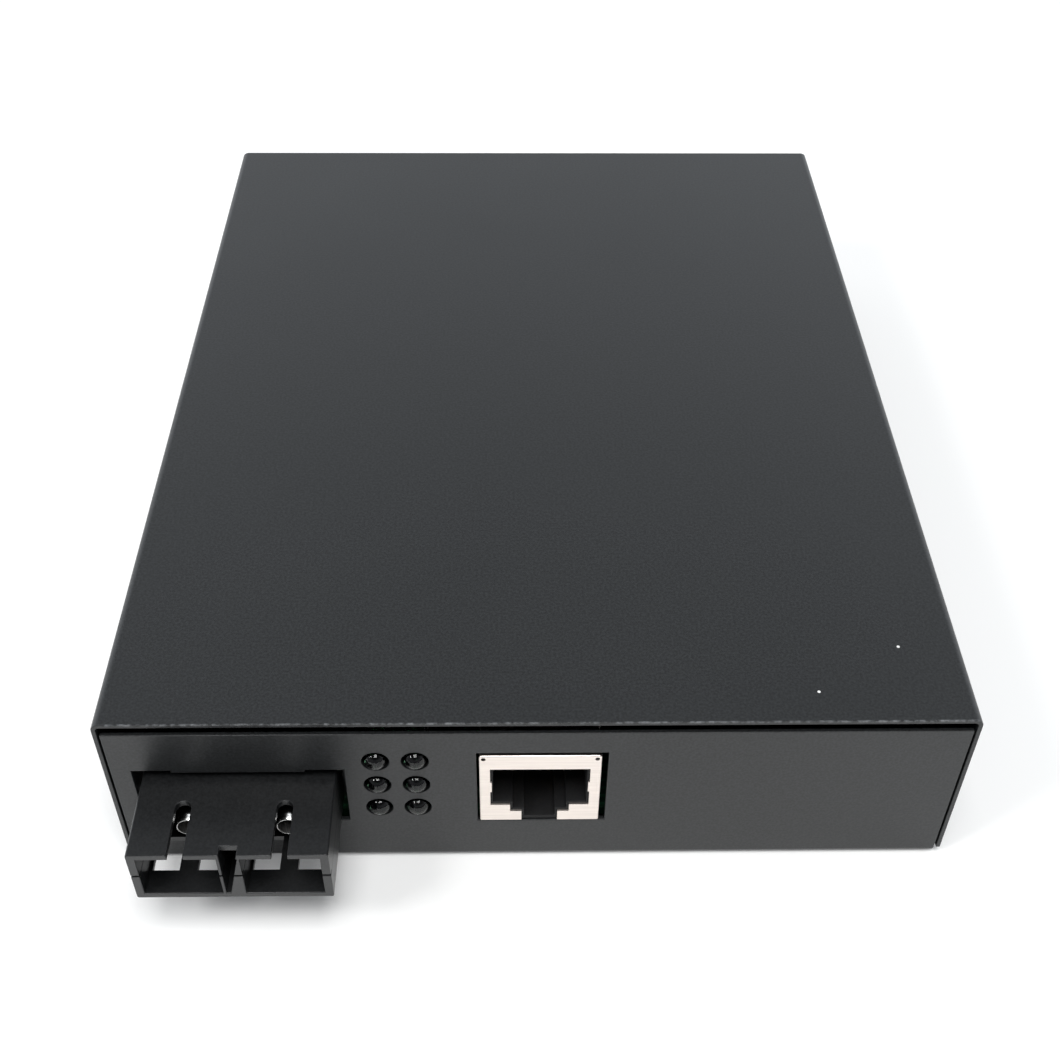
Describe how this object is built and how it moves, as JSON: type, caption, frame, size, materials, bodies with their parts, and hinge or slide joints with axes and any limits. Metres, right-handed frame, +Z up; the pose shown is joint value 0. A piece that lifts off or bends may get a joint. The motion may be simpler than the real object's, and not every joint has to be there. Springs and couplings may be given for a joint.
{
  "type": "fibre optic media converter",
  "caption": "Flat folded-steel box that joins a network cable to a pair of optical fibres: duplex optical port, status lamps and shielded jack in front, mains inlet behind.",
  "frame": {"origin": "middle of the case's footprint, on its flat underside", "axes": "+Z up from the underside, +Y from the front ports towards the mains inlet, +X to the right seen from the front"},
  "size_m": [0.1134, 0.1578, 0.0282],
  "materials": {
    "case_paint": "fine-textured charcoal powder coat on folded steel",
    "black_screw": "black oxide steel",
    "plated_steel": "drawn tinned steel can",
    "circuit_board": "green solder mask on glass-fibre board",
    "insulator": "clear-white polyester film",
    "port_plastic": "black moulded plastic, slightly glossy",
    "port_steel": "turned stainless steel, polished rim",
    "sleeve_ceramic": "ground zirconia ceramic",
    "latch_plastic": "black moulded plastic",
    "gold_plate": "gold-plated spring bronze",
    "lamp_lens": "clear epoxy lens with a green tint",
    "tinned_lead": "tinned copper",
    "black_plastic": "black moulded plastic",
    "jack_plate": "nickel-plated folded brass sheet",
    "capacitor_can": "sleeved aluminium can",
    "ferrite": "sintered ferrite",
    "winding_tape": "yellow polyester film",
    "fuse_glass": "glass tube",
    "white_nylon": "natural nylon",
    "blade_brass": "nickel-plated brass",
    "wire_skin": "black soft plastic insulation"
  },
  "bodies": {
    "root": {"top_cover": "case_paint", "base_tray": "case_paint", "cover_screws": "black_screw", "inlet_screws": "black_screw", "crystal_can": "plated_steel", "main_board": "circuit_board", "power_board": "circuit_board", "module_board": "circuit_board", "insulating_sheet": "insulator", "optical_upper_shell": "port_plastic", "optical_lower_shell": "port_plastic", "module_case": "port_plastic", "transmit_barrel": "port_steel", "receive_barrel": "port_steel", "transmit_sleeve": "sleeve_ceramic", "receive_sleeve": "sleeve_ceramic", "transmit_latch": "latch_plastic", "receive_latch": "latch_plastic", "module_pins": "gold_plate", "jack_contacts": "gold_plate", "lamp_lower_left": "lamp_lens", "lamp_lower_right": "lamp_lens", "lamp_middle_left": "lamp_lens", "lamp_middle_right": "lamp_lens", "lamp_upper_left": "lamp_lens", "lamp_upper_right": "lamp_lens", "lamp_leads": "tinned_lead", "chip_leads": "tinned_lead", "line_transformer_leads": "tinned_lead", "jack_housing": "black_plastic", "converter_chip": "black_plastic", "line_transformer": "black_plastic", "regulator": "black_plastic", "power_chip": "black_plastic", "bridge_rectifier": "black_plastic", "inlet_housing": "black_plastic", "jack_shield": "jack_plate", "filter_capacitors": "capacitor_can", "output_capacitors": "capacitor_can", "bulk_capacitor": "capacitor_can", "transformer_core": "ferrite", "noise_choke": "ferrite", "transformer_winding": "winding_tape", "noise_capacitor": "winding_tape", "power_fuse": "fuse_glass", "wire_headers": "white_nylon", "wire_plugs": "white_nylon", "main_posts": "white_nylon", "power_posts": "white_nylon", "inlet_blades": "blade_brass", "low_voltage_lead": "wire_skin"}
  },
  "joints": []
}
